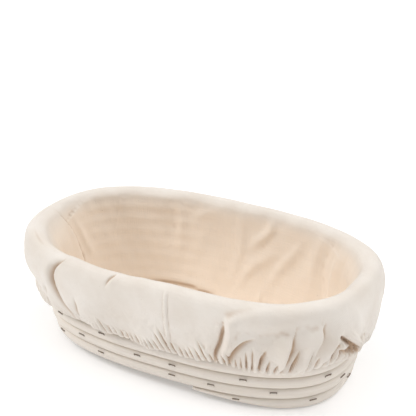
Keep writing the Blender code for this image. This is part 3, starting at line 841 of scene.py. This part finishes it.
def gather_places(rng):
    """Valleys of the gathers at the hem, one row each: (along, reach, height of the ridge after it,
    depth of the crease that runs on up from it), in mm. They are small where the hem lies flat."""
    places = []
    x = -GIRTH_MM / 2
    while x < GIRTH_MM / 2 - 2.5:
        right_end = RIGHT_END[0] < x < RIGHT_END[1]
        flat = smoothstep((x + 95) / 8) * smoothstep((-38 - x) / 10)
        long = rng.random() < LONG_GATHERS
        reach_up = (rng.uniform(15, 24) if long else rng.uniform(7.5, 13.0)) * (1 if x > 5 else 0.7)
        ridge = rng.uniform(3.6, 4.8) if right_end else rng.uniform(2.0, 3.2) * (1 - 0.55 * flat)
        crease = rng.uniform(1.6, 2.6) if long or right_end else rng.uniform(0.5, 1.3)
        places.append((x, reach_up * (1 - 0.45 * flat), ridge, crease * (1 - 0.6 * flat)))
        x += rng.uniform(4.0, 6.2) if right_end else rng.uniform(3.0, 4.7)
    return np.array(places)


def gathers(along, up, rng):
    """Height of the gathers for places along and heights above the hem, in mm: round ridges with
    sharp valleys between them, which fade upward, and creases that run on from the valleys."""
    places = gather_places(rng)
    ring = np.concatenate([places, places[:1] + np.array([GIRTH_MM, 0, 0, 0])])
    flat_along = along - gather_lean(along) * np.clip(up, 0, 22)
    at = (flat_along + GIRTH_MM / 2) % GIRTH_MM - GIRTH_MM / 2
    k = np.clip(np.searchsorted(ring[:, 0], at, side="right") - 1, 0, len(places) - 1)
    here, after = ring[k], ring[k + 1]
    width = after[..., 0] - here[..., 0]
    t = np.clip((at - here[..., 0]) / width, 0, 1)
    reach_up = here[..., 1] * (1 - t) + after[..., 1] * t
    fade = np.clip(1 - np.maximum(up, 0) / reach_up, 0, 1) ** 0.8
    ridges = here[..., 2] * (4 * t * (1 - t)) ** 0.6 * fade
    nearest = np.where(t < 0.5, here[..., 1], after[..., 1])
    depth = np.where(t < 0.5, here[..., 3], after[..., 3])
    offset = np.minimum(t, 1 - t) * width
    crease_fade = smoothstep(1 - np.maximum(up, 0) / nearest) ** 0.7
    return ridges - depth * crease_fade * np.exp(-((offset / VALLEY_HALF) ** 1.6))


def side_seam(along, z):
    """The lapped seam that closes the band, a narrow flat ridge down the skirt."""
    offset = (along - SIDE_SEAM_ALONG) / SIDE_SEAM_HALF
    shown = smoothstep((86 - z) / 3)
    beside = SIDE_SEAM_VALLEY * np.exp(-(((np.abs(offset) - 1.5) / 0.4) ** 2))
    return SIDE_SEAM_PROUD * shown * (np.exp(-(offset**4)) - beside)


def hollow(lift):
    """How far each place lies below its surroundings on the cloth."""
    wide = lift
    for step in (1, 2, 3):
        wide = (np.roll(wide, step, 1) + wide + np.roll(wide, -step, 1)) / 3
    for step in (1, 2):
        up, down = np.roll(wide, step, 0), np.roll(wide, -step, 0)
        up[:step], down[-step:] = wide[:step], wide[-step:]
        wide = (up + wide + down) / 3
    return wide - lift


# Painted shade in the cloth's creases: the depth in mm where it starts, and over how many mm it deepens to
# full
CREASE_FROM = 0.18  # hollows shallower than this, in mm, get no painted shade
CREASE_DEPTH = 0.6
INSIDE_CREASE_FROM = 0.5
WIDEST_CREASE = 3.0  # folds narrower than this, in mm, get painted shade along their bottom
VALLEY_FROM, VALLEY_DEPTH = 1.0, 2.0
INSIDE_VALLEY_FROM, INSIDE_VALLEY_DEPTH = 0.35, 0.6
CHANNEL_WAY = 9.0  # the folds die out over this last way, inside the elastic's channel, in mm
ELASTIC_FACE = 3.3  # the cloth stays this far out over the elastic, in mm
VALLEY_FACE = 1.0  # and this far out above it
INSIDE_CLEARANCE = 0.9  # of the cloth from the canes, in mm
OUTSIDE_CLEARANCE = 0.5


# Soft waves of the cloth: height, wavelength along and wavelength up, in mm
BROAD_WAVES = (0.45, 46, 60)
WRINKLES = (0.14, 15, 70)
FINE_CREASES = (0.05, 7, 9)
INSIDE_WAVES = (0.28, 52, 50)
INSIDE_WRINKLES = (0.10, 18, 26)
COIL_PRINT = 0.46  # how far the canes behind show through the inside, in mm


def column_shares():
    """Share of the way round of each column, which stand closest along the front."""
    along = np.linspace(-GIRTH_MM / 2, GIRTH_MM / 2, 4001)
    fine = smoothstep((along - FINE_FROM) / 20) * smoothstep((FINE_TO - along) / 20)
    density = 1 / COLUMN_SPACING + (1 / FINE_COLUMN_SPACING - 1 / COLUMN_SPACING) * fine
    return share_at(spaced(density, along)[:-1])


def clear_of_canes(out, z):
    """Moves places on the section, in mm, out of the wall of canes and its rounded top."""
    half_cane = CANE_THICKNESS / MM / 2
    across = out + half_cane
    half_width = half_cane + np.where(across < 0, INSIDE_CLEARANCE, OUTSIDE_CLEARANCE)
    half_height = CANE_HEIGHT / MM / 2 + OUTSIDE_CLEARANCE
    middle = (WALL_HEIGHT - CANE_HEIGHT / 2) / MM
    above = np.maximum(z - middle, 0.0)
    sideways, upward = np.abs(across) / half_width, above / half_height
    reached = (sideways**CANE_POWER + upward**CANE_POWER) ** (1 / CANE_POWER)
    push = 1 / np.clip(reached, 0.3, 1.0)
    return across * push - half_cane, np.where(above > 0, middle + above * push, z)


def skirt_lift(share, along, z, up, outer, out, rng):
    """How far the folds, gathers and seam lift the skirt off its plain section, and how deep the
    narrow folds alone cut into it, in mm."""
    skirt = np.where(outer, smoothstep((out - CREST_OUT) / 4.5), 0.0)
    folds, valleys = np.zeros(out.shape), np.zeros(out.shape)
    for path, before, after in SKIRT_FOLDS:
        fold = FOLD_SCALE * fold_height(along, z, path, before, after)
        folds += fold
        if max(before, after) < WIDEST_CREASE:
            valleys -= np.minimum(fold, 0.0)
    folds *= 0.1 + 0.9 * smoothstep((up - 1.0) / 9.0)
    calm = 0.15 + 0.85 * smoothstep((82 - z) / 16)
    broad = BROAD_WAVES[0] * calm * wave_noise(share, z * MM, rng, *BROAD_WAVES[1:])
    wrinkles = WRINKLES[0] * wave_noise(share, z * MM, rng, *WRINKLES[1:]) * smoothstep((72 - z) / 30)
    creases = FINE_CREASES[0] * calm * wave_noise(share, z * MM, rng, *FINE_CREASES[1:])
    lift = folds + gathers(along, up, rng) + broad + wrinkles + creases + side_seam(along, z)
    return skirt * lift, valleys


def inner_lift(share, along, z, rng):
    """How far the folds and the canes behind lift the inside of the band toward the hollow, and how
    deep the narrow folds alone cut into it, in mm."""
    folds, valleys = np.zeros(z.shape), np.zeros(z.shape)
    for path, before, after in INNER_FOLDS:
        fold = fold_height(along, z, path, before, after)
        folds += fold
        if max(before, after) < WIDEST_CREASE:
            valleys -= np.minimum(fold, 0.0)
    soft = INSIDE_WAVES[0] * (1 + wave_noise(share, z * MM, rng, *INSIDE_WAVES[1:]))
    soft = soft + INSIDE_WRINKLES[0] * wave_noise(share, z * MM, rng, *INSIDE_WRINKLES[1:])
    cane_top = coil_top((share - START_AT) % 1.0) / MM
    pitch = PITCH / MM
    pressed = 0.5 + 0.5 * np.cos(2 * math.pi * (z - cane_top + pitch / 2) / pitch)
    tight = 0.3 + 0.7 * smoothstep((-182 - along) / 12) * smoothstep((along + 300) / 40)
    plain = soft + COIL_PRINT * pressed * tight
    folds *= smoothstep((z - 8.7) / 4) * smoothstep((88 - z) / 6)
    plain *= smoothstep((z - 10) / 8) * smoothstep((86 - z) / 6)
    return folds + plain, valleys


def band_surface():
    """Points of the band, how much painted shade each gets from lying in a crease, how far inside, its
    rows' (out, z), and the way along them."""
    rng = np.random.default_rng(SEED)
    rows, normal, way = band_rows()
    crest_row = int(np.argmax(rows[:, 1]))
    count = len(rows)
    share = column_shares()[None] + np.zeros((count, 1))
    along = along_at(share)
    out = rows[:, :1] + np.zeros(share.shape)
    z = rows[:, 1:] + np.zeros(share.shape)
    outer = (np.arange(count) >= crest_row)[:, None] & (share > 0)

    crest_share = smoothstep((z - 56) / 28)
    hem_share = np.where(outer, smoothstep((66 - z) / 24), 0.0)
    z = z + periodic(CREST_RISES, along) * crest_share + periodic(HEM_RISES, along) * hem_share
    # How far inside, which sets the painted bounce light of the inner face; it fades in below the crest
    inside = np.where(outer, 0.0, smoothstep((86.5 - z) / 14))

    up = z - (HEM_Z + periodic(HEM_RISES, along))
    skirt, skirt_valleys = skirt_lift(share, along, z, up, outer, out, rng)
    inner, inner_valleys = inner_lift(share, along, z, rng)
    channel = np.clip((way[-1] - way) / CHANNEL_WAY, 0, 1)[:, None]
    lift = np.where(outer, skirt * channel, inner)

    # Painted shade: the deeper a place lies in a hollow or a narrow valley, the darker its colour
    crease_shade_from = np.where(outer, CREASE_FROM, INSIDE_CREASE_FROM)
    crease = np.clip((hollow(lift) - crease_shade_from) / CREASE_DEPTH, 0, 1)
    skirt_valleys = np.clip((skirt_valleys - VALLEY_FROM) / VALLEY_DEPTH, 0, 1)
    inner_valleys = np.clip((inner_valleys - INSIDE_VALLEY_FROM) / INSIDE_VALLEY_DEPTH, 0, 1)
    crease = np.maximum(crease, np.where(outer, skirt_valleys, inner_valleys))
    out = out + lift * normal[:, :1]
    z = z + lift * normal[:, 1:]
    over_elastic = outer & (rows[:, :1] > ELASTIC_FACE)
    least = VALLEY_FACE + (ELASTIC_FACE - VALLEY_FACE) * smoothstep((8.0 - up) / 3.5)
    out = np.where(over_elastic, np.maximum(out, least), out)
    out, z = clear_of_canes(out, z)
    return around(share, z * MM, out * MM), share[0], crease, inside, rows, way


def liner_band():
    points, share, crease, inside, rows, way = band_surface()
    around_band = np.concatenate([share, share[:1] + 1]) - share[0]
    u = np.repeat(GIRTH * around_band[None], len(rows), 0)
    v = np.repeat(way[:, None] * MM, len(share) + 1, 1)
    made = grid_mesh("liner_band", points, u, v, CLOTH)
    # the inside attribute places the painted bounce light
    add_attribute(made, "inside", inside)
    # the crease attribute carries the painted shade of the creases to the material
    add_attribute(made, "crease", crease)
    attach(made, "liner")
    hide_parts("liner_wall", "liner_skirt")
    return made, points, share, rows, way


FLOOR_PANEL_Z = 8.3
FLOOR_PANEL_OUT = -11.6
FLOOR_PANEL_RINGS = 44
FLOOR_PANEL_COLUMNS = 300


def floor_panel():
    """Oval bottom of the liner, lying on the floor canes."""
    rng = np.random.default_rng(SEED + 1)
    ring = np.linspace(0.02, 1, FLOOR_PANEL_RINGS)[:, None]
    share = (np.arange(FLOOR_PANEL_COLUMNS) / FLOOR_PANEL_COLUMNS)[None]
    edge = around(share, FLOOR_PANEL_Z * MM, FLOOR_PANEL_OUT * MM)
    centre = np.array([wall_shift(FLOOR_PANEL_Z * MM), 0.0, 0.0])
    points = centre + (edge - centre) * ring[..., None]
    x, y = points[..., 0], points[..., 1]
    press = 0.12 * np.cos(2 * math.pi * ring * FLOOR_TURNS)
    ripple = sum(
        0.16 * np.sin(rng.uniform(-90, 90) * x + rng.uniform(-150, 150) * y + rng.uniform(0, 6.3))
        for _ in range(7)
    )
    seam = 0.35 * np.exp(-(((ring - 0.985) / 0.012) ** 2))
    points[..., 2] = (FLOOR_PANEL_Z + 0.25 + press + ripple * smoothstep((1 - ring) / 0.1) + seam) * MM
    u = np.concatenate([x, x[:, :1]], 1)
    v = np.concatenate([y, y[:, :1]], 1)
    made = grid_mesh("liner_floor_panel", points, u, v, CLOTH)
    # the whole floor panel takes the painted bounce light of the inside
    add_attribute(made, "inside", np.ones(x.shape))
    close_centre(made, FLOOR_PANEL_COLUMNS)
    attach(made, "liner")
    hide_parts("liner_floor")
    return made


def close_centre(obj, columns):
    """Fills the small hole in the middle of a ring grid with one face."""
    work = bmesh.new()
    work.from_mesh(obj.data)
    work.verts.ensure_lookup_table()
    face = work.faces.new([work.verts[i] for i in reversed(range(columns))])
    layer = work.loops.layers.uv.active
    for loop in face.loops:
        loop[layer].uv = loop.vert.co.xy
    face.smooth = True
    work.to_mesh(obj.data)
    work.free()


# ---------------------------------------------------------------- elastic and stitching


ELASTIC_POINTS = 240
ELASTIC_UP = 2.2  # of its middle above the hem, in mm
ELASTIC_OUT = 2.1 * MM
ELASTIC_RADIUS = 0.65 * MM


def hem_elastic():
    """Round elastic inside the hem."""
    share = np.arange(ELASTIC_POINTS) / ELASTIC_POINTS
    z = HEM_Z + ELASTIC_UP + periodic(HEM_RISES, along_at(share))
    line = around(share, z * MM, ELASTIC_OUT)
    made = wire_curve("hem_elastic", [line], ELASTIC_RADIUS, ELASTIC, resolution=2, closed=True)
    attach(made, "liner")
    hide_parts("elastic_cord")
    return made


HEM_STITCHES_UP = 5.2  # above the hem, in mm
FLOOR_STITCHES_WAY = 2.2  # up the inside from the floor seam, in mm
SIDE_STITCHES_ALONG = SIDE_SEAM_ALONG - 0.7
SIDE_STITCHES_FROM = 8  # rows below the crest
SEAM_STITCH = (2.1 * MM, 0.9 * MM, 0.16 * MM)  # length, gap after it, radius of the thread
SIDE_STITCH = (1.6 * MM, 0.8 * MM, 0.13 * MM)
STITCH_ARCH = (-1.4, 0.1, 0.5, 0.1, -1.4)  # heights along one stitch, in thread radii


def stitches(name, line, normals, sizes, node, closed=True):
    """A row of stitches: short arched threads along a line of points, sunk at both ends."""
    stitch, gap, radius = sizes
    if closed:
        line, normals = np.concatenate([line, line[:1]]), np.concatenate([normals, normals[:1]])
    run = run_along(line)
    count = int(run[-1] / (stitch + gap))
    arch = np.array(STITCH_ARCH)[:, None] * radius
    threads = []
    for k in range(count):
        stops = k * run[-1] / count + np.linspace(0, stitch, len(STITCH_ARCH))
        threads.append(sampled(stops, run, line.T) + sampled(stops, run, normals.T) * arch)
    made = wire_curve(name, threads, radius, THREAD)
    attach(made, "liner")
    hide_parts(node)
    return made


def surface_normals(points):
    """Unit normals of the band's grid, outward on the skirt."""
    up = np.gradient(points, axis=0)
    round_ = np.roll(points, -1, axis=1) - np.roll(points, 1, axis=1)
    normal = np.cross(up, round_)
    return normal / np.linalg.norm(normal, axis=2)[..., None]


def liner_stitches(points, share, rows, way):
    """Stitches over the elastic, round the floor seam, and down one side of the side seam."""
    normals = surface_normals(points)
    crest_row = int(np.argmax(rows[:, 1]))
    off_hem = np.abs(rows[:, 1] - (HEM_Z + HEM_STITCHES_UP))
    off_hem[:crest_row] = np.inf
    off_hem[rows[:, 0] < ELASTIC_FACE] = np.inf
    hem_row = int(np.argmin(off_hem))
    floor_row = int(np.argmin(np.abs(way - FLOOR_STITCHES_WAY)))
    seam_column = int(np.argmin(np.abs(along_at(share) - SIDE_STITCHES_ALONG)))
    seam_rows = slice(crest_row + SIDE_STITCHES_FROM, hem_row)
    outward = np.sign(normals[hem_row, seam_column] @ np.array([0.0, -1.0, 0.0]))
    out = normals * outward
    hem = stitches("hem_stitches", points[hem_row], out[hem_row], SEAM_STITCH, "hem_seam_thread")
    floor = stitches("floor_seam_stitches", points[floor_row], out[floor_row], SEAM_STITCH,
                     "floor_seam_thread")  # fmt: skip
    side = stitches("side_seam_stitches", points[seam_rows, seam_column], out[seam_rows, seam_column],
                    SIDE_STITCH, "side_seam_thread", closed=False)  # fmt: skip
    return hem, floor, side


# ---------------------------------------------------------------- studio


FLOOR_SIZE = 30
SKY_STRENGTH = 0.29
# Name, direction toward the light, strength, and spread in degrees
SUNS = (
    ("key", (-0.82, -0.42, 0.8), 1.3, 24),
    ("fill", (0.64, 0.60, 0.9), 1.15, 50),
    ("top", (0.1, -0.2, 1.0), 1.25, 90),
)


def studio():
    bpy.ops.mesh.primitive_plane_add(size=FLOOR_SIZE, location=(0, 0, 0))
    floor = bpy.context.active_object
    floor.name = "studio_floor"
    floor.data.materials.append(floor_look("pale_floor"))

    world = bpy.data.worlds.new("soft_room")
    bpy.context.scene.world = world
    world.use_nodes = True
    sky = world.node_tree.nodes["Background"]
    sky.inputs["Color"].default_value = (1.0, 1.0, 1.0, 1.0)
    sky.inputs["Strength"].default_value = SKY_STRENGTH

    for name, toward, strength, spread in SUNS:
        data = bpy.data.lights.new(name, "SUN")
        data.energy = strength
        data.angle = math.radians(spread)
        lamp = link(bpy.data.objects.new(name, data))
        lamp.rotation_mode = "QUATERNION"
        lamp.rotation_quaternion = Vector(toward).to_track_quat("Z", "Y")


CAMERA_AT = (0.31642, -0.58609, 0.39748)
CAMERA_BACK = (0.42886, -0.81170, 0.39652)  # from what the camera looks at toward it
CAMERA_ROLL = 0.0208
CAMERA_LENS = 89.88


def camera():
    data = bpy.data.cameras.new("camera")
    data.lens = CAMERA_LENS
    data.sensor_width = 36.0
    data.clip_start, data.clip_end = 0.01, 60.0
    made = link(bpy.data.objects.new("camera", data))
    back = Vector(CAMERA_BACK).normalized()
    level = Vector((-back.y, back.x, 0)).normalized()
    upright = back.cross(level)
    right = level * math.cos(CAMERA_ROLL) + upright * math.sin(CAMERA_ROLL)
    up = upright * math.cos(CAMERA_ROLL) - level * math.sin(CAMERA_ROLL)
    made.matrix_world = Matrix.Translation(CAMERA_AT) @ Matrix((right, up, back)).transposed().to_4x4()
    bpy.context.scene.camera = made
    bpy.context.scene.view_settings.view_transform = "Standard"


# ---------------------------------------------------------------- build


def liner():
    """The cloth with its elastic and seams."""
    band, points, share, rows, way = liner_band()
    panel = floor_panel()
    elastic = hem_elastic()
    seams = liner_stitches(points, share, rows, way)


rattan_pieces = canes()
upper_staples()
paint_nodes()
liner()
studio()
camera()
